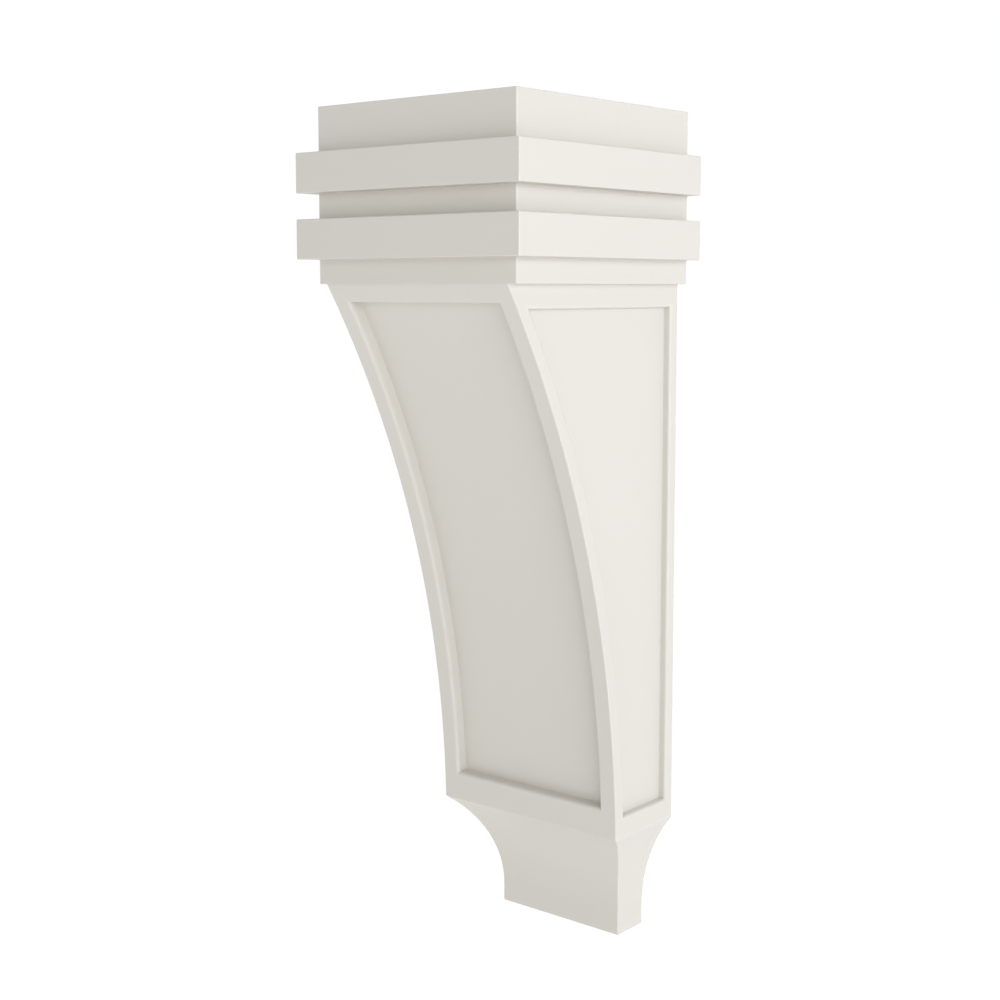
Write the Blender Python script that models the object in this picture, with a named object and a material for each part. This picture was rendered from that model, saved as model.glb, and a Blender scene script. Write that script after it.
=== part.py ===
"""Painted wooden corbel: a panelled, concave bracket under a square capital with two flat bands.

Metres, +Z up. The back stands in the plane Y = 0 and the front faces -Y. The origin is the middle
of the back, where the corbel meets the wall.
"""

from math import asin, cos, pi, sin

import bmesh
import bpy
from mathutils import Matrix, Vector

# Overall
TOTAL_HEIGHT = 0.3475
JOINT_GAP = 0.0003  # clearance between two pieces that touch

# Capital
CAP_WIDTH = 0.1016
CAP_DEPTH = 0.1100
CAP_HEIGHT = 0.0696
BAND_PROUD = 0.0064  # how far a band stands out from the block
UPPER_BAND_DROP = 0.0181  # from the top of the block to the top of the band
LOWER_BAND_DROP = 0.0441
BAND_HEIGHT = 0.0158

# Body
BODY_WIDTH = 0.0934
LOWER_EDGE_DROP = 0.2962  # from the top of the block to the sharp edge above the coves
FRONT_RADIUS = 0.4393  # of the hollow front
FRONT_CENTRE_DROP = 0.3072  # height of that arc's centre, below the top of the block
FRONT_CENTRE_OUT = 0.4797  # and how far it lies in front of the back

# Foot
FOOT_WIDTH = 0.0636
FOOT_DEPTH = 0.0178
FOOT_PLUMB = 0.0080  # the straight part of the foot, below the coves

# Front panel
FRONT_PANEL_WIDTH = 0.0768
FRONT_PANEL_TOP_DROP = 0.0774
FRONT_PANEL_BOTTOM_DROP = 0.2836
FRONT_PANEL_SINK = 0.0048

# Side panels
SIDE_PANEL_TOP_DROP = 0.0792
SIDE_PANEL_BOTTOM_DROP = 0.2871
SIDE_PANEL_SINK = 0.0032
FRONT_STILE = 0.0060  # measured square to the hollow front
BACK_STILE = 0.0052

# Fineness of the curves
FRONT_STEPS = 40
COVE_STEPS = 14
CUT_MARGIN = 0.02  # how far a cutter reaches past the face that it cuts

TOP = TOTAL_HEIGHT / 2
BOTTOM = -TOTAL_HEIGHT / 2
LOWER_EDGE = TOP - LOWER_EDGE_DROP
FRONT_CENTRE = Vector((FRONT_CENTRE_OUT, TOP - FRONT_CENTRE_DROP))

# The side outline is drawn as (distance out from the back, height) and swept across the width.
ACROSS = Matrix(((0, 0, -1, 0), (-1, 0, 0, 0), (0, 1, 0, 0), (0, 0, 0, 1)))
# The front outline is drawn as (width, height) and swept from front to back.
FRONT_TO_BACK = Matrix(((1, 0, 0, 0), (0, 0, -1, 0), (0, 1, 0, 0), (0, 0, 0, 1)))
# A plan is drawn as (width, distance out from the back) and swept upwards.
UPWARDS = Matrix(((1, 0, 0, 0), (0, -1, 0, 0), (0, 0, -1, 0), (0, 0, 0, 1)))


def clear_scene():
    for obj in list(bpy.data.objects):
        bpy.data.objects.remove(obj, do_unlink=True)


def collection(name):
    made = bpy.data.collections.new(name)
    bpy.context.scene.collection.children.link(made)
    return made


def paint(name, colour):
    """Satin paint of the given colour."""
    made = bpy.data.materials.new(name)
    made.use_nodes = True
    shader = made.node_tree.nodes["Principled BSDF"]
    shader.inputs["Base Color"].default_value = (*colour, 1)
    shader.inputs["Roughness"].default_value = 0.45
    shader.inputs["Metallic"].default_value = 0
    made.diffuse_color = (*colour, 1)
    return made


def swept(name, outline, thickness, placing, into):
    """A flat outline, closed and filled, swept evenly to both sides of its plane, as a mesh."""
    curve = bpy.data.curves.new(name, "CURVE")
    curve.dimensions = "2D"
    curve.fill_mode = "BOTH"
    curve.extrude = thickness / 2
    spline = curve.splines.new("POLY")
    spline.points.add(len(outline) - 1)
    for point, (x, y) in zip(spline.points, outline):
        point.co = (x, y, 0, 1)
    spline.use_cyclic_u = True
    drawn = bpy.data.objects.new(name + "_curve", curve)
    drawn.matrix_world = placing
    into.objects.link(drawn)
    bpy.context.view_layer.update()
    graph = bpy.context.evaluated_depsgraph_get()
    mesh = bpy.data.meshes.new_from_object(drawn.evaluated_get(graph))
    weld(mesh)
    made = bpy.data.objects.new(name, mesh)
    made.matrix_world = drawn.matrix_world
    into.objects.link(made)
    bpy.data.objects.remove(drawn, do_unlink=True)
    return made


def weld(mesh):
    """Joins the caps to the sides and turns every face outwards."""
    work = bmesh.new()
    work.from_mesh(mesh)
    bmesh.ops.remove_doubles(work, verts=work.verts, dist=1e-6)
    bmesh.ops.recalc_face_normals(work, faces=work.faces)
    work.to_mesh(mesh)
    work.free()


def cutter(made):
    made.hide_render = True
    made.display_type = "WIRE"
    return made


def boolean(target, tool, operation):
    modifier = target.modifiers.new(tool.name, "BOOLEAN")
    modifier.operation = operation
    modifier.solver = "EXACT"
    modifier.object = tool


def arc(centre, radius, start, end, steps):
    """Points along an arc, both ends included; the angles are in radians from the first axis."""
    angles = [start + (end - start) * i / steps for i in range(steps + 1)]
    return [centre + radius * Vector((cos(angle), sin(angle))) for angle in angles]


def front_angle(height, sink=0.0):
    """Where the hollow front, or a surface sunk behind it, stands at a height."""
    return pi - asin((height - FRONT_CENTRE.y) / (FRONT_RADIUS + sink))


def front_arc(bottom, top, sink=0.0, steps=FRONT_STEPS):
    start, end = front_angle(bottom, sink), front_angle(top, sink)
    return arc(FRONT_CENTRE, FRONT_RADIUS + sink, start, end, steps)


def cove(foot_reach, edge_reach):
    """A hollow arc that leaves the foot plumb and ends at the sharp edge above it."""
    run = edge_reach - foot_reach
    rise = LOWER_EDGE - BOTTOM - FOOT_PLUMB
    radius = (rise * rise + run * run) / (2 * run)
    centre = Vector((foot_reach + radius, BOTTOM + FOOT_PLUMB))
    return arc(centre, radius, pi, pi - asin(rise / radius), COVE_STEPS)


def edge_depth():
    """How far the body stands out at the sharp edge above the coves."""
    return front_arc(LOWER_EDGE, TOP, steps=1)[0].x


def make_body(parts, cutters):
    """The side outline, narrowed to the front outline, with the three panels sunk into it."""
    top = TOP - CAP_HEIGHT - JOINT_GAP
    half_width = BODY_WIDTH / 2
    clear = half_width + CUT_MARGIN
    side_outline = [Vector((0, BOTTOM)), Vector((FOOT_DEPTH, BOTTOM))]
    side_outline += cove(FOOT_DEPTH, edge_depth())[:-1]
    side_outline += front_arc(LOWER_EDGE, top)
    side_outline += [Vector((0, top))]
    body = swept("body", side_outline, BODY_WIDTH, ACROSS, parts)

    right_edge = [Vector((FOOT_WIDTH / 2, BOTTOM - CUT_MARGIN))]
    right_edge += cove(FOOT_WIDTH / 2, half_width)
    right_edge += [Vector((clear, LOWER_EDGE)), Vector((clear, TOP))]
    left_edge = [Vector((-point.x, point.y)) for point in reversed(right_edge)]
    width = cutter(swept("body_width", right_edge + left_edge, 3 * CAP_DEPTH, FRONT_TO_BACK, cutters))
    boolean(body, width, "INTERSECT")

    boolean(body, front_panel(cutters), "DIFFERENCE")
    for side in (-1, 1):
        boolean(body, side_panel(side, cutters), "DIFFERENCE")
    return body


def front_panel(cutters):
    """A slab that follows the hollow front and reaches as far behind it as the panel is sunk."""
    bottom, top = TOP - FRONT_PANEL_BOTTOM_DROP, TOP - FRONT_PANEL_TOP_DROP
    start, end = front_angle(bottom), front_angle(top)
    outline = arc(FRONT_CENTRE, FRONT_RADIUS + FRONT_PANEL_SINK, start, end, FRONT_STEPS)
    outline += arc(FRONT_CENTRE, FRONT_RADIUS - CUT_MARGIN, end, start, FRONT_STEPS)
    return cutter(swept("front_panel_cut", outline, FRONT_PANEL_WIDTH, ACROSS, cutters))


def side_panel(side, cutters):
    """A plate with one curved edge, let into the side as deep as the panel is sunk."""
    bottom, top = TOP - SIDE_PANEL_BOTTOM_DROP, TOP - SIDE_PANEL_TOP_DROP
    outline = [Vector((BACK_STILE, top)), Vector((BACK_STILE, bottom))]
    outline += front_arc(bottom, top, FRONT_STILE)
    thickness = SIDE_PANEL_SINK + CUT_MARGIN
    middle = side * (BODY_WIDTH / 2 - SIDE_PANEL_SINK + thickness / 2)
    placing = Matrix.Translation((middle, 0, 0)) @ ACROSS
    name = "right_panel_cut" if side > 0 else "left_panel_cut"
    return cutter(swept(name, outline, thickness, placing, cutters))


def make_cap_block(parts):
    work = bmesh.new()
    bmesh.ops.create_cube(work, size=1)
    bmesh.ops.scale(work, vec=(CAP_WIDTH, CAP_DEPTH, CAP_HEIGHT), verts=work.verts)
    mesh = bpy.data.meshes.new("cap_block")
    work.to_mesh(mesh)
    work.free()
    block = bpy.data.objects.new("cap_block", mesh)
    block.location = (0, -CAP_DEPTH / 2, TOP - CAP_HEIGHT / 2)
    parts.objects.link(block)
    return block


def make_band(name, drop, parts):
    """A flat strip that goes round the front and both sides of the block and dies into the wall."""
    inner = Vector((CAP_WIDTH / 2 + JOINT_GAP, CAP_DEPTH + JOINT_GAP))
    outer = Vector((CAP_WIDTH / 2 + BAND_PROUD, CAP_DEPTH + BAND_PROUD))
    plan = [
        (outer.x, 0),
        (outer.x, outer.y),
        (-outer.x, outer.y),
        (-outer.x, 0),
        (-inner.x, 0),
        (-inner.x, inner.y),
        (inner.x, inner.y),
        (inner.x, 0),
    ]
    placing = Matrix.Translation((0, 0, TOP - drop - BAND_HEIGHT / 2)) @ UPWARDS
    return swept(name, plan, BAND_HEIGHT, placing, parts)


def main():
    clear_scene()
    parts = collection("corbel")
    cutters = collection("corbel_cutters")
    pieces = [
        (make_body(parts, cutters), (0.72, 0.70, 0.65)),
        (make_cap_block(parts), (0.71, 0.69, 0.64)),
        (make_band("upper_band", UPPER_BAND_DROP, parts), (0.73, 0.71, 0.66)),
        (make_band("lower_band", LOWER_BAND_DROP, parts), (0.73, 0.71, 0.66)),
    ]
    for piece, colour in pieces:
        piece.data.materials.clear()
        piece.data.materials.append(paint(piece.name + "_paint", colour))


main()
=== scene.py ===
from math import radians

import bpy
import numpy as np
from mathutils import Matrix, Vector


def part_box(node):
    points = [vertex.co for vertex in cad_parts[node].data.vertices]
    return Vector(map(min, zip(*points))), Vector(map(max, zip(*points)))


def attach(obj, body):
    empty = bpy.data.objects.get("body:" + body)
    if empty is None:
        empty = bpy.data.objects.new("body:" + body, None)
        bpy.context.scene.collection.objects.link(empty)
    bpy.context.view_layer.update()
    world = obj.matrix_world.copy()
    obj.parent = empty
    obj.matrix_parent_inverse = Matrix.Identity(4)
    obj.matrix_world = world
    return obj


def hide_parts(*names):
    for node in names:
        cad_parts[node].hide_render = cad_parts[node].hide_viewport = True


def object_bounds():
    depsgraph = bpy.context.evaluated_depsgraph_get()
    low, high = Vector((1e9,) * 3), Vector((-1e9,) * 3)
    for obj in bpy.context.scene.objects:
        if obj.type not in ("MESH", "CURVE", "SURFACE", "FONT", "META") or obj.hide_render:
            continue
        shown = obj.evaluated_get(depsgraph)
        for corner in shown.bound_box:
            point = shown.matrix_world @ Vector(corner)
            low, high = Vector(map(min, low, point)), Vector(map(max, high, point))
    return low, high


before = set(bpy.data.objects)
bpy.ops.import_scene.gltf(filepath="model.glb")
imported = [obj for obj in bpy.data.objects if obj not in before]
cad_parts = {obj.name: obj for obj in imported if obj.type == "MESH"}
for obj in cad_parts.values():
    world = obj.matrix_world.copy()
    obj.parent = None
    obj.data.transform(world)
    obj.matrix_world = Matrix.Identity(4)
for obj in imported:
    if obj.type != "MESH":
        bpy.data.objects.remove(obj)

# Painted wooden corbel. Metres, +Z up; the back is in the plane Y = 0 and the front faces -Y.
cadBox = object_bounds()
topHeight, bottomHeight = cadBox[1][2], cadBox[0][2]

turnSteps = 6  # faces round an eased edge
backSteps = 4  # faces across each half of the flat back
holdNear, holdFar = 0.0003, 0.0015  # lines beside an eased edge that keep the flats flat
sharpAngle = radians(33)  # edges sharper than this aren't shaded smooth


class Wire:
    # the output of a node; + - and * on it make Math nodes
    def __init__(self, paint, socket):
        self.paint, self.socket = paint, socket

    def maths(self, operation, first, second):
        return self.paint.add("ShaderNodeMath", {"operation": operation}, {0: first, 1: second})

    def __add__(self, other):
        return self.maths("ADD", self, other)

    def __radd__(self, other):
        return self.maths("ADD", other, self)

    def __sub__(self, other):
        return self.maths("SUBTRACT", self, other)

    def __rsub__(self, other):
        return self.maths("SUBTRACT", other, self)

    def __mul__(self, other):
        return self.maths("MULTIPLY", self, other)

    def __rmul__(self, other):
        return self.maths("MULTIPLY", other, self)


class NodePaint:
    # the nodes of one material or world
    def __init__(self, owner):
        owner.use_nodes = True
        self.owner, self.tree = owner, owner.node_tree
        self.tree.nodes.clear()

    def add(self, kind, settings=None, sockets=None, output=0):
        node = self.tree.nodes.new(kind)
        for name, value in (settings or {}).items():
            if name == "stops":
                self.setStops(node.color_ramp, value)
            else:
                setattr(node, name, value)
        for name, value in (sockets or {}).items():
            if isinstance(value, Wire):
                self.tree.links.new(value.socket, node.inputs[name])
            else:
                node.inputs[name].default_value = value
        return Wire(self, node.outputs[output]) if node.outputs else None

    def setStops(self, ramp, stops):
        while len(ramp.elements) < len(stops):
            ramp.elements.new(0.5)
        for element, (place, tone) in zip(ramp.elements, stops):
            element.position, element.color = place, (tone, tone, tone, 1)

    def noise(self, place, scale, detail, roughness=0.5):
        sockets = {"Vector": place, "Scale": scale, "Detail": detail, "Roughness": roughness}
        return self.add("ShaderNodeTexNoise", {}, sockets)

    def mixColours(self, share, first, second):
        # sockets 0, 6 and 7 are the factor and the two colours; output 2 is the colour
        settings = {"data_type": "RGBA"}
        return self.add("ShaderNodeMix", settings, {0: share, 6: first, 7: second}, output=2)


def easedTurn(steps=turnSteps):
    # angles of a quarter turn, evenly spaced
    return np.linspace(0, np.pi / 2, steps + 1)


def withHolds(lines):
    # a row of lines with two more beyond each end
    first, last = lines[0], lines[-1]
    return np.r_[first - holdFar, first - holdNear, lines, last + holdNear, last + holdFar]


def easedRun(start, end, count):
    # lines between two eased edges: crowded beside them, even in between
    way = np.sign(end - start)
    return np.r_[start + way * holdNear, start + way * holdFar,
                 np.linspace(start, end, count + 2)[1:-1], end - way * holdFar, end - way * holdNear]


def quarterInset(height, radius):
    # how far a quarter turn stands in at a height above its end: the radius less the leg of a
    # right triangle whose long side is the radius
    return radius - np.sqrt(radius ** 2 - np.clip(radius - height, 0, radius) ** 2)


def gridMesh(name, points, roundU, material, worn, depth=None):
    # Neighbouring points become faces. The grid closes on itself in u (roundU) or else in v, and
    # its two open ends get a flat face each. Where a depth is given every cell is cut along the
    # diagonal that the depth changes along, which keeps the mitres of a sunk panel straight.
    index = np.arange(points.shape[0] * points.shape[1]).reshape(points.shape[:2])
    index = np.vstack((index, index[:1])) if roundU else np.hstack((index, index[:, :1]))
    a, b, c, d = (part.ravel() for part in
                  (index[:-1, :-1], index[:-1, 1:], index[1:, 1:], index[1:, :-1]))
    if depth is None:
        faces = np.stack((a, b, c, d), 1).tolist()
    else:
        sunk = depth.ravel()
        alongAC = (np.abs(sunk[a] - sunk[c]) >= np.abs(sunk[b] - sunk[d]))[:, None]
        first = np.where(alongAC, np.stack((a, b, c), 1), np.stack((a, b, d), 1))
        second = np.where(alongAC, np.stack((a, c, d), 1), np.stack((b, c, d), 1))
        faces = np.vstack((first, second)).tolist()
    if roundU:
        faces += [index[:-1, 0].tolist(), index[:-1, -1][::-1].tolist()]
    else:
        faces += [index[0, :-1][::-1].tolist(), index[-1, :-1].tolist()]
    mesh = bpy.data.meshes.new(name)
    mesh.from_pydata(points.reshape(-1, 3).tolist(), [], faces)
    # a mask on the edges: thin paint there, and a painted highlight lighter than the faces
    layer = mesh.attributes.new("worn", "FLOAT", "POINT")
    layer.data.foreach_set("value", worn.ravel().astype(np.float32))
    mesh.update()
    mesh.shade_smooth()
    mesh.set_sharp_from_angle(angle=sharpAngle)
    mesh.materials.append(material)
    piece = bpy.data.objects.new(name, mesh)
    bpy.context.scene.collection.objects.link(piece)
    return piece


def closedRound(half):
    # the right half of a plan and its mirror image; its first and last lines are in the middle
    return np.concatenate((half, half[-2:0:-1] * (-1, 1, 1)))


def planHalf(halfWidth, depth, sideLines, frontLines, arris, backArris):
    # Right half of the plan at every height, from the middle of the back round to the middle of
    # the front: straight runs joined by quarter turns. Rows are lines up the piece.
    turn = easedTurn()[:, None]
    back = np.linspace(0, 1, backSteps + 1)[:-1, None] * (halfWidth - backArris)
    across = np.vstack((back, halfWidth - backArris * (1 - np.sin(turn)), halfWidth + 0 * sideLines,
                        halfWidth - arris * (1 - np.cos(turn)), frontLines))
    out = np.vstack((0 * back, backArris * (1 - np.cos(turn)) + 0 * depth, sideLines,
                     depth - arris * (1 - np.sin(turn)), depth + 0 * frontLines))
    return across, out


def planParts(sideLines, frontLines):
    # which rows of planHalf are the side, the turn at the near corner and the front
    sideStart = backSteps + turnSteps + 1
    turnStart = sideStart + len(sideLines)
    frontStart = turnStart + turnSteps + 1
    return (slice(sideStart, turnStart), slice(turnStart, frontStart),
            slice(frontStart, frontStart + len(frontLines)))


body = {
    "halfWidth": 0.0467,
    "edgeDrop": 0.2962,  # from the top down to the edge above the coves
    "hollowRadius": 0.4393,
    "hollowDrop": 0.3072,  # centre of the hollow front's arc
    "hollowOut": 0.4797,
    "footHalfWidth": 0.0318,
    "footDepth": 0.0178,
    "footPlumb": 0.0080,
    "arris": 0.0004,
    "backArris": 0.0004,
    "footArris": 0.0005,
    "edgeEase": 0.0003,
    "paintBead": 0.0006,  # paint drawn into the joint under the block
    "tuckedIn": 0.0002,  # and how far the body runs up behind it
    "wearAndHighlightReach": 0.0012,  # how far to both sides of an edge the paint is thin and painted lighter as a highlight
    "wearAndHighlightAt": 0.6,  # share of a panel's arris, from the wall, where the paint is thinnest and the painted highlight lightest
    "frontPanel": {"halfWidth": 0.0384, "topDrop": 0.0774, "bottomDrop": 0.2836, "sink": 0.0048,
                   "arris": 0.0014, "corner": 0.0002, "draft": 0.00015},
    "sidePanel": {"topDrop": 0.0792, "bottomDrop": 0.2871, "sink": 0.0032, "frontStile": 0.0060,
                  "backStile": 0.0052, "arris": 0.0011, "corner": 0.0002, "draft": 0.00010},
    # how finely it is drawn
    "coveRows": 26,
    "panelRows": 60,
    "edgeRows": (0.0001, 0.0002, 0.0004, 0.0007, 0.0012),  # to both sides of the edge
    "leastRow": 0.00001,  # rows closer than this become one
    "sideLines": 8,  # between the panel's borders
    "backStileLine": 0.0012,
    "frontLines": 9,  # from the panel's border to the middle
    "overEdge": 0.002,  # up to here the edge above the coves is eased
    "coveOverrun": 0.003,  # and up to here the coves' circles are carried on
}
centreHeight = topHeight - body["hollowDrop"]
edgeHeight = topHeight - body["edgeDrop"]
plumbTop = bottomHeight + body["footPlumb"]


def hollowOut(height, behind=0.0):
    # how far out the hollow front stands, or a surface at an even distance behind it: a circle
    # about a centre in front of the corbel
    return body["hollowOut"] - np.sqrt((body["hollowRadius"] + behind) ** 2
                                       - (height - centreHeight) ** 2)


def girth(height):
    # distance along the hollow: the radius times the angle above the centre
    return body["hollowRadius"] * np.arcsin((height - centreHeight) / body["hollowRadius"])


def panelSection(panel):
    # Distance in from the foot of the wall against depth: a quarter turn over the arris, a wall
    # that leans by the draft, then a quarter turn into the corner.
    turn = easedTurn()
    across = np.r_[-panel["draft"] - panel["arris"] * (1 - np.sin(turn)),
                   panel["corner"] * (1 - np.cos(turn))]
    down = np.r_[panel["arris"] * (1 - np.cos(turn)),
                 panel["sink"] - panel["corner"] * (1 - np.sin(turn))]
    return across, down


def panelEnds(panel):
    # heights of a panel's lower and upper border
    return topHeight - panel["bottomDrop"], topHeight - panel["topDrop"]


def wearAndHighlightNear(distance):
    # 1 on an edge, falling evenly to 0 a little way off: thin paint and a painted highlight
    return np.clip(1 - np.abs(distance) / body["wearAndHighlightReach"], 0, 1)


def panelWearAndHighlight(panel, inward):
    # strongest about the middle of the eased arris
    return wearAndHighlightNear(inward + panel["draft"] + body["wearAndHighlightAt"] * panel["arris"])


def softLower(first, second, reach):
    # the lower of two numbers, rounded by a parabola where they cross
    near = np.maximum(reach - np.abs(first - second), 0) / reach
    return np.minimum(first, second) - near ** 2 * reach / 4


def coveCircle(foot, edge):
    # the circle that leaves the foot plumb and passes through the edge above it
    run, rise = edge - foot, edgeHeight - plumbTop
    return (rise ** 2 + run ** 2) / (2 * run), rise


def coveReach(height, foot, edge):
    # how far out a cove stands: its circle, carried on a little above the edge
    radius, rise = coveCircle(foot, edge)
    up = np.clip(height - plumbTop, 0, rise + body["coveOverrun"])
    return foot + radius - np.sqrt(radius ** 2 - up ** 2)


def bodyRows(jointHeight, frontAcross, sideAcross):
    # heights of the rows: crowded where a border, an edge or a cove needs them
    radius = body["hollowRadius"]
    frontLow, frontHigh = (girth(height) for height in panelEnds(body["frontPanel"]))
    sideLow, sideHigh = panelEnds(body["sidePanel"])
    frontRows = np.r_[frontLow + withHolds(frontAcross), frontHigh - withHolds(frontAcross),
                      np.linspace(frontLow, frontHigh, body["panelRows"])[1:-1]]
    coveRadius, coveRise = coveCircle(body["footDepth"], hollowOut(edgeHeight))
    coveTurn = np.linspace(0, np.arcsin(coveRise / coveRadius), body["coveRows"])
    footTurn = bottomHeight + body["footArris"] * (1 - np.cos(easedTurn()))
    edgeRows = np.array(body["edgeRows"])
    rows = np.unique(np.round(np.r_[
        footTurn, footTurn[-1] + holdNear, (bottomHeight + plumbTop) / 2,
        plumbTop + coveRadius * np.sin(coveTurn), edgeHeight - edgeRows, edgeHeight + edgeRows,
        centreHeight + radius * np.sin(frontRows / radius),
        sideLow + withHolds(sideAcross), sideHigh - withHolds(sideAcross),
        jointHeight - body["paintBead"] * (1 - np.cos(easedTurn())),
        jointHeight + body["tuckedIn"]], 7))
    return rows[np.diff(rows, prepend=-1) > body["leastRow"]]


def bodyOutline(heights, jointHeight, blockDepth):
    # half width and depth at each height; above the edge the body is straight at the sides
    edgeDepth = hollowOut(edgeHeight)
    standIn = quarterInset(heights - bottomHeight, body["footArris"])
    bead = quarterInset(np.abs(jointHeight - heights), body["paintBead"])
    sideCove = coveReach(heights, body["footHalfWidth"], body["halfWidth"])
    frontCove = coveReach(heights, body["footDepth"], edgeDepth)
    nearCoves = heights < edgeHeight + body["overEdge"]
    ease = body["edgeEase"]
    halfWidth = np.where(nearCoves, softLower(sideCove, body["halfWidth"], ease),
                         body["halfWidth"]) - standIn + bead
    depth = np.where(nearCoves, softLower(frontCove, hollowOut(heights), ease),
                     softLower(hollowOut(heights), blockDepth, ease)) - standIn
    return halfWidth, depth, nearCoves


def bodySideLines(heights, depth, nearCoves, sideAcross):
    # lines up the sides: fixed at the back and even with the hollow at the front, and drawn
    # together evenly beside the coves
    side, arris, backArris = body["sidePanel"], body["arris"], body["backArris"]
    backRun = side["backStile"] + withHolds(sideAcross)
    backRun = np.r_[backRun[0] - body["backStileLine"], backRun]
    backLines = np.broadcast_to(backRun[:, None], (len(backRun), len(heights)))
    reached = np.maximum(heights, edgeHeight)
    frontRun = side["frontStile"] + withHolds(sideAcross)
    frontLines = hollowOut(reached, frontRun[::-1, None])
    between = np.linspace(0, 1, body["sideLines"] + 2)[1:-1, None]
    middleLines = backLines[-1] + between * (frontLines[0] - backLines[-1])
    fullDepth = hollowOut(reached) - arris
    lines = np.vstack((backLines, middleLines, frontLines, fullDepth - holdFar))
    shrink = (depth - arris - backArris) / (fullDepth - backArris)
    lines = np.where(nearCoves, backArris + shrink * (lines - backArris), lines)
    return np.vstack((backArris + holdNear + 0 * depth, lines, depth - arris - holdNear))


def bodyFrontLines(halfWidth, frontAcross):
    # lines up the front, in from the arris to the middle
    outer = body["halfWidth"] - body["arris"]
    runIn = np.r_[outer - holdNear, outer - holdFar,
                  body["frontPanel"]["halfWidth"] - withHolds(frontAcross)]
    runIn = np.r_[runIn, np.linspace(runIn[-1], 0, body["frontLines"] + 1)[1:]]
    return runIn[:, None] / outer * (halfWidth - body["arris"])


def makeBody(material):
    front, side, radius = body["frontPanel"], body["sidePanel"], body["hollowRadius"]
    frontAcross, frontDown = panelSection(front)
    sideAcross, sideDown = panelSection(side)
    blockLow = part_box("cap_block")[0]
    jointHeight, blockDepth = blockLow[2], -blockLow[1]
    heights = bodyRows(jointHeight, frontAcross, sideAcross)
    halfWidth, depth, nearCoves = bodyOutline(heights, jointHeight, blockDepth)
    sideLines = bodySideLines(heights, depth, nearCoves, sideAcross)
    frontLines = bodyFrontLines(halfWidth, frontAcross)
    across, out = planHalf(halfWidth, depth, sideLines, frontLines, body["arris"],
                           body["backArris"])
    up = np.broadcast_to(heights, across.shape)
    onSide, onTurn, onFront = planParts(sideLines, frontLines)

    # sunk panels: the depth follows the section by the distance in from the nearest border
    frontLow, frontHigh = (girth(height) for height in panelEnds(front))
    sideLow, sideHigh = panelEnds(side)
    behind = np.hypot(body["hollowOut"] - out, up - centreHeight) - radius
    sideIn = np.minimum.reduce((out - side["backStile"], behind - side["frontStile"],
                                up - sideLow, sideHigh - up))[onSide]
    frontIn = np.minimum.reduce((front["halfWidth"] - across, girth(up) - frontLow,
                                 frontHigh - girth(up)))[onFront]
    sunk, worn = np.zeros(across.shape), np.zeros(across.shape)
    sunk[onSide] = np.interp(sideIn, sideAcross, sideDown)
    sunk[onFront] = np.interp(frontIn, frontAcross, frontDown)
    worn[onSide], worn[onFront] = panelWearAndHighlight(side, sideIn), panelWearAndHighlight(front, frontIn)
    # the near corners get thin paint and a painted highlight all round their turn
    worn[onTurn] = 1
    beyondBack = slice(onSide.start, None)  # the back has no edge above the coves
    worn[beyondBack] = np.maximum(worn, wearAndHighlightNear(up - edgeHeight))[beyondBack]

    # the sides are pushed in across the width, the front square to the hollow
    angle = np.arcsin((up - centreHeight) / radius)
    inFront = np.zeros(across.shape, bool)
    inFront[onFront] = True
    x = np.where(inFront, across, across - sunk)
    y = np.where(inFront, sunk * np.cos(angle), 0) - out
    z = np.where(inFront, sunk * np.sin(angle), 0) + up
    sunk, worn = (np.concatenate((part, part[-2:0:-1])) for part in (sunk, worn))
    return gridMesh("corbelBody", closedRound(np.stack((x, y, z), 2)), True, material, worn, sunk)


block = {
    "arris": 0.0004,
    "lowArris": 0.00025,
    "backArris": 0.0004,
    "sideLines": 6,
    "frontLines": 5,
    "rows": 6,
}


def makeBlock(material):
    low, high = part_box("cap_block")
    fullDepth = -low[1]
    arris, lowArris, backArris = block["arris"], block["lowArris"], block["backArris"]
    rise = 1 - np.cos(easedTurn())
    heights = np.r_[low[2] + lowArris * rise,
                    easedRun(low[2] + lowArris, high[2] - arris, block["rows"]),
                    (high[2] - arris * rise)[::-1]]
    standIn = quarterInset(heights - low[2], lowArris) + quarterInset(high[2] - heights, arris)
    halfWidth, depth = high[0] - standIn, fullDepth - standIn
    # the lines draw together where the edges at the top and bottom stand in
    sideRun = easedRun(backArris, fullDepth - arris, block["sideLines"])[:, None] - backArris
    sideLines = backArris + sideRun * (depth - arris - backArris) / (fullDepth - arris - backArris)
    frontRun = easedRun(high[0] - arris, 0, block["frontLines"])
    frontRun = np.r_[frontRun[:-2], 0][:, None]
    frontLines = frontRun * (halfWidth - arris) / (high[0] - arris)
    across, out = planHalf(halfWidth, depth, sideLines, frontLines, arris, backArris)
    up = np.broadcast_to(heights, across.shape)
    # edge mask over the top and bottom arrises: thin paint and a painted highlight
    worn = np.clip(1 - np.minimum(up - low[2], high[2] - up) / (2 * arris), 0, 1)
    onTurn = planParts(sideLines, frontLines)[1]
    worn[onTurn] = 1
    worn = np.concatenate((worn, worn[-2:0:-1]))
    points = closedRound(np.stack((across, -out, up), 2))
    return gridMesh("capitalBlock", points, True, material, worn)


band = {
    "arris": 0.0004,
    "cornerArris": 0.0004,
    "leastTurn": 0.00003,  # radius of the corner's turn where it meets the block
    "paintBead": 0.00045,
    "letIn": 0.0004,  # how far the band's back reaches into the block
    "cornerWearAndHighlight": 0.6,  # share of the projection beyond which the corner gets thin paint and a painted highlight
    "beadSteps": 4,
    "underLines": 1,
    "faceLines": 3,
    "sideLines": 6,
    "frontLines": 5,
}


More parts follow.
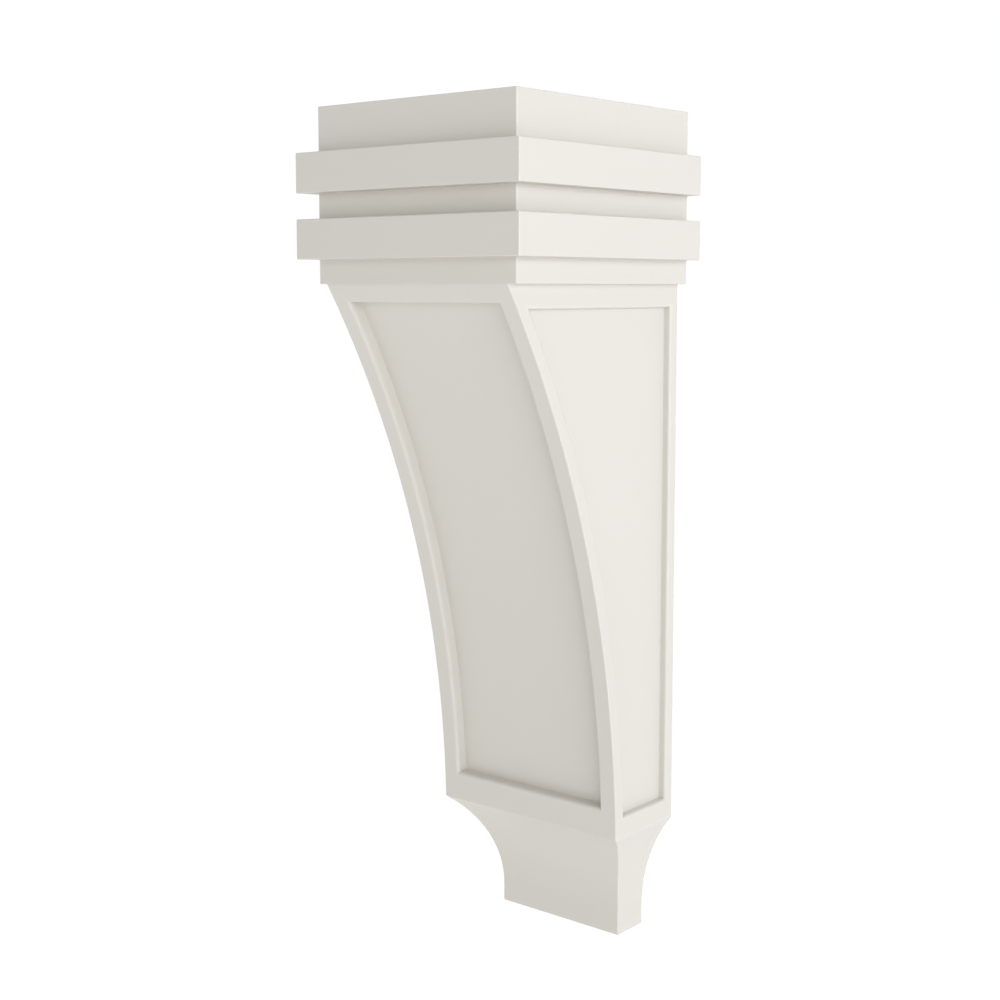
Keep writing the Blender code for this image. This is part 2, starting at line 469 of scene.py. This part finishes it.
def bandSection(proud, height):
    # outset against height, once round: along the underside, up the face, back along the top and
    # down inside the block; the arrises are quarter turns and the paint beads hollow ones
    turn, hollow = easedTurn(), easedTurn(band["beadSteps"])
    arris, bead = band["arris"], band["paintBead"]
    swing, lift = arris * np.sin(turn), arris * (1 - np.cos(turn))
    beadOut, beadUp = bead * (1 - np.cos(hollow)), bead * (1 - np.sin(hollow))
    under = easedRun(bead, proud - arris, band["underLines"])
    over = easedRun(proud - arris, bead, band["underLines"])
    face = easedRun(arris, height - arris, band["faceLines"])
    out = np.r_[beadOut, under, proud - arris + swing, np.full(len(face), proud),
                proud - arris + swing[::-1], over, beadOut[::-1], -band["letIn"], -band["letIn"]]
    up = np.r_[-beadUp, 0 * under, lift, face, height - lift[::-1],
               height + 0 * over, height + beadUp[::-1], height + bead, -bead]
    # the arrises get thin paint and a painted highlight
    onArris = np.sin(2 * turn) ** 0.5
    beside = np.zeros(len(beadOut) + len(under))
    worn = np.r_[beside, onArris, 0 * face, onArris, beside, 0, 0]
    return out, up, worn


def makeBand(name, node, material):
    low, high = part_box(node)
    blockLow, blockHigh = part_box("cap_block")
    proud = high[0] - blockHigh[0]
    out, up, arrisWearAndHighlight = bandSection(proud, high[2] - low[2])
    # the corner's turn is widest at the face and all but closes on the block
    turnRadius = np.maximum(band["cornerArris"] - (proud - out), band["leastTurn"])
    side, front = blockHigh[0] + out - turnRadius, out - blockLow[1] - turnRadius
    turn = easedTurn()[:, None]
    sideRun = np.linspace(0, 1, band["sideLines"] + 1)[:-1, None] * (front - holdFar)
    frontRun = np.linspace(1, 0, band["frontLines"] + 1)[1:, None] * (side - holdFar)
    across = np.vstack((side + turnRadius + 0 * sideRun, side + turnRadius, side + turnRadius,
                        side + turnRadius * np.cos(turn), side - holdNear, side - holdFar,
                        frontRun))
    forward = np.vstack((sideRun, front - holdFar, front - holdNear,
                         front + turnRadius * np.sin(turn), front + turnRadius,
                         front + turnRadius, front + turnRadius + 0 * frontRun))
    height = np.broadcast_to(low[2] + up, across.shape)
    worn = np.broadcast_to(arrisWearAndHighlight, across.shape).copy()
    turnStart = len(sideRun) + 2  # past the two holds
    onTurn = slice(turnStart, turnStart + len(turn))
    worn[onTurn] = np.maximum(worn[onTurn], out > band["cornerWearAndHighlight"] * proud)
    right = np.stack((across, -forward, height), 2)
    points = np.concatenate((right, right[-2::-1] * (-1, 1, 1)))
    worn = np.concatenate((worn, worn[-2::-1]))
    return gridMesh(name, points, False, material, worn)


paint = {
    "colour": (0.621, 0.595, 0.536, 1),
    "deeper": (0.606, 0.578, 0.517, 1),
    "thinAndHighlight": (0.653, 0.627, 0.562, 1),  # lighter and warmer over the arrises: thin paint, and a painted highlight
    "thinAndHighlightShare": 0.55,
    "thinAndHighlightPatches": ((0.35, 0.35), (0.65, 1.0)),  # share of it against the fine mottling
    "strokeShare": 0.3,  # of the mottling, brush marks against broad patches
    "patchScale": 14,  # waves per metre
    "fineScale": 160,
    "peelScale": 1 / 0.0016,  # orange peel
    "strokesAcross": 700,  # brush marks run along a piece: many waves across, few along
    "strokesAlong": 26,
    "bandShift": (0.4, 0.12, 0.28),  # moves the pattern on the block and the bands
    "peelHeight": 0.000012,
    "brushHeight": 0.000010,
    "roughness": 0.44,
    "roughnessVaries": {"fine": 0.10, "strokes": 0.08, "thinAndHighlight": 0.07},
}


def satinPaint(name, strokeScale, shift=(0, 0, 0)):
    # strokeScale holds the waves per metre of the brush marks along X, Y and Z
    nodes = NodePaint(bpy.data.materials.new(name))
    place = nodes.add("ShaderNodeTexCoord", output="Object")
    shifted = nodes.add("ShaderNodeMapping", {"vector_type": "POINT"},
                        {"Vector": place, "Location": shift})
    brushed = nodes.add("ShaderNodeMapping", {"vector_type": "POINT"},
                        {"Vector": shifted, "Scale": strokeScale})
    patches = nodes.noise(shifted, paint["patchScale"], 3)
    fine = nodes.noise(shifted, paint["fineScale"], 2)
    peel = nodes.noise(shifted, paint["peelScale"], 2, 0.45)
    strokes = nodes.noise(brushed, 1, 3, 0.6)
    worn = nodes.add("ShaderNodeAttribute", {"attribute_name": "worn"}, output="Fac")
    uneven = nodes.add("ShaderNodeValToRGB", {"stops": paint["thinAndHighlightPatches"]}, {0: fine})
    thinAndHighlight = worn * uneven
    mottling = patches * (1 - paint["strokeShare"]) + strokes * paint["strokeShare"]
    coat = nodes.mixColours(mottling, paint["deeper"], paint["colour"])
    # the arrises are mixed towards a lighter, warmer tone: thin paint and a painted highlight; the
    # roughness falls there too
    colour = nodes.mixColours(thinAndHighlight * paint["thinAndHighlightShare"], coat, paint["thinAndHighlight"])
    varies = paint["roughnessVaries"]
    roughness = (paint["roughness"] + (fine - 0.5) * varies["fine"]
                 + (strokes - 0.5) * varies["strokes"] - thinAndHighlight * varies["thinAndHighlight"])
    height = (peel - 0.5) * paint["peelHeight"] + (strokes - 0.5) * paint["brushHeight"]
    normal = nodes.add("ShaderNodeBump", {}, {"Strength": 1.0, "Distance": 1.0, "Height": height})
    shader = nodes.add("ShaderNodeBsdfPrincipled", {},
                       {"Base Color": colour, "Roughness": roughness, "Normal": normal,
                        "Metallic": 0.0, "IOR": 1.5})
    nodes.add("ShaderNodeOutputMaterial", {}, {"Surface": shader})
    nodes.owner.diffuse_color = paint["colour"]
    return nodes.owner


stage = {
    "floorHeight": -0.30,  # low enough for the corbel to cast no shade on it
    "floorReach": 40.0,
    "floorTone": 0.86,
    "floorGlow": 0.52,  # the floor is a lit white table
    "lightColour": (1.006, 1.014, 1.032, 1),
    # brightness of the room against the sine of the height above the horizon
    "room": ((0.0, 1.0), (0.235, 1.0), (0.42, 0.30), (0.77, 0.30), (0.87, 0.9), (1.0, 0.9)),
    # softboxes that light the corbel alone: place, width and height, power, colour
    "softboxes": {
        "key": ((1.42, -0.12, 0.24), (1.1, 1.1), 7.0, (0.97, 1.0, 1.17)),
        "overhead": ((0.90, 0.0, 1.40), (1.0, 1.0), 1.3, (1.0, 1.0, 1.0)),
        "fill": ((1.34, -0.84, 0.30), (1.2, 0.6), 6.4, (1.0, 1.0, 1.01)),
        "top": ((-0.20, 0.10, 1.50), (0.9, 0.9), 2.4, (1.0, 1.0, 1.02)),
        "back": ((-0.55, 1.40, 0.55), (1.1, 1.1), 4.2, (1.0, 1.0, 1.02)),
    },
}

camera = {
    "place": (0.4171, -0.5569, 0.10235),
    "tilt": 6.29,  # degrees below level
    "swing": 39.93,
    "lens": 57.6,
    "sensor": 36,
    "shift": -0.035,
}


def makeFloor():
    nodes = NodePaint(bpy.data.materials.new("paleFloor"))
    tone = stage["floorTone"]
    shader = nodes.add("ShaderNodeBsdfPrincipled", {},
                       {"Base Color": (tone, tone, tone, 1), "Roughness": 0.9,
                        "Emission Color": stage["lightColour"],
                        "Emission Strength": stage["floorGlow"]})
    nodes.add("ShaderNodeOutputMaterial", {}, {"Surface": shader})
    mesh = bpy.data.meshes.new("floor")
    reach, level = stage["floorReach"], stage["floorHeight"]
    mesh.from_pydata([(-reach, -reach, level), (reach, -reach, level), (reach, reach, level),
                      (-reach, reach, level)], [], [(0, 1, 2, 3)])
    mesh.materials.append(nodes.owner)
    floor = bpy.data.objects.new("floor", mesh)
    bpy.context.scene.collection.objects.link(floor)


def makeRoom():
    world = bpy.data.worlds.new("studio")
    nodes = NodePaint(world)
    direction = nodes.add("ShaderNodeTexCoord", output="Generated")
    height = nodes.add("ShaderNodeSeparateXYZ", {}, {"Vector": direction}, output="Z")
    strength = nodes.add("ShaderNodeValToRGB", {"stops": stage["room"]}, {0: height})
    background = nodes.add("ShaderNodeBackground", {},
                           {"Color": stage["lightColour"], "Strength": strength})
    nodes.add("ShaderNodeOutputWorld", {}, {"Surface": background})
    bpy.context.scene.world = world


def makeSoftboxes(lit):
    # linked to the corbel, so that the floor stays evenly white, and out of the picture themselves
    group = bpy.data.collections.new("softboxLit")
    for piece in lit:
        group.objects.link(piece)
    for name, (place, size, power, colour) in stage["softboxes"].items():
        lamp = bpy.data.lights.new(name, "AREA")
        lamp.shape, (lamp.size, lamp.size_y) = "ELLIPSE", size
        lamp.energy, lamp.color = power, colour
        box = bpy.data.objects.new(name, lamp)
        box.location = place
        box.rotation_euler = (-box.location).to_track_quat("-Z", "Y").to_euler()  # at the origin
        box.light_linking.receiver_collection = group
        box.visible_camera = False
        bpy.context.scene.collection.objects.link(box)


def makeCamera():
    lens = bpy.data.cameras.new("camera")
    lens.lens, lens.sensor_width, lens.shift_y = camera["lens"], camera["sensor"], camera["shift"]
    lens.clip_start, lens.clip_end = 0.01, 100
    viewer = bpy.data.objects.new("camera", lens)
    viewer.location = camera["place"]
    viewer.rotation_euler = (radians(90 - camera["tilt"]), 0, radians(camera["swing"]))
    bpy.context.scene.collection.objects.link(viewer)
    bpy.context.scene.camera = viewer
    bpy.context.scene.view_settings.view_transform = "Standard"


makeCamera()
makeRoom()
makeFloor()
print("stage and camera ready")

across, along = paint["strokesAcross"], paint["strokesAlong"]
uprightPaint = satinPaint("satinPaintUpright", (across, across, along))
bandPaint = satinPaint("satinPaintBand", (along, along, across), paint["bandShift"])
print("paint mixed")

pieces = [
    (makeBody(uprightPaint), "body"),
    (makeBlock(bandPaint), "cap_block"),
    (makeBand("upperBand", "upper_band", bandPaint), "upper_band"),
    (makeBand("lowerBand", "lower_band", bandPaint), "lower_band"),
]
for piece, node in pieces:
    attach(piece, "root")
    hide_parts(node)
    print(piece.name, "made,", len(piece.data.polygons), "faces")
makeSoftboxes([piece for piece, node in pieces])
print("softboxes lit")
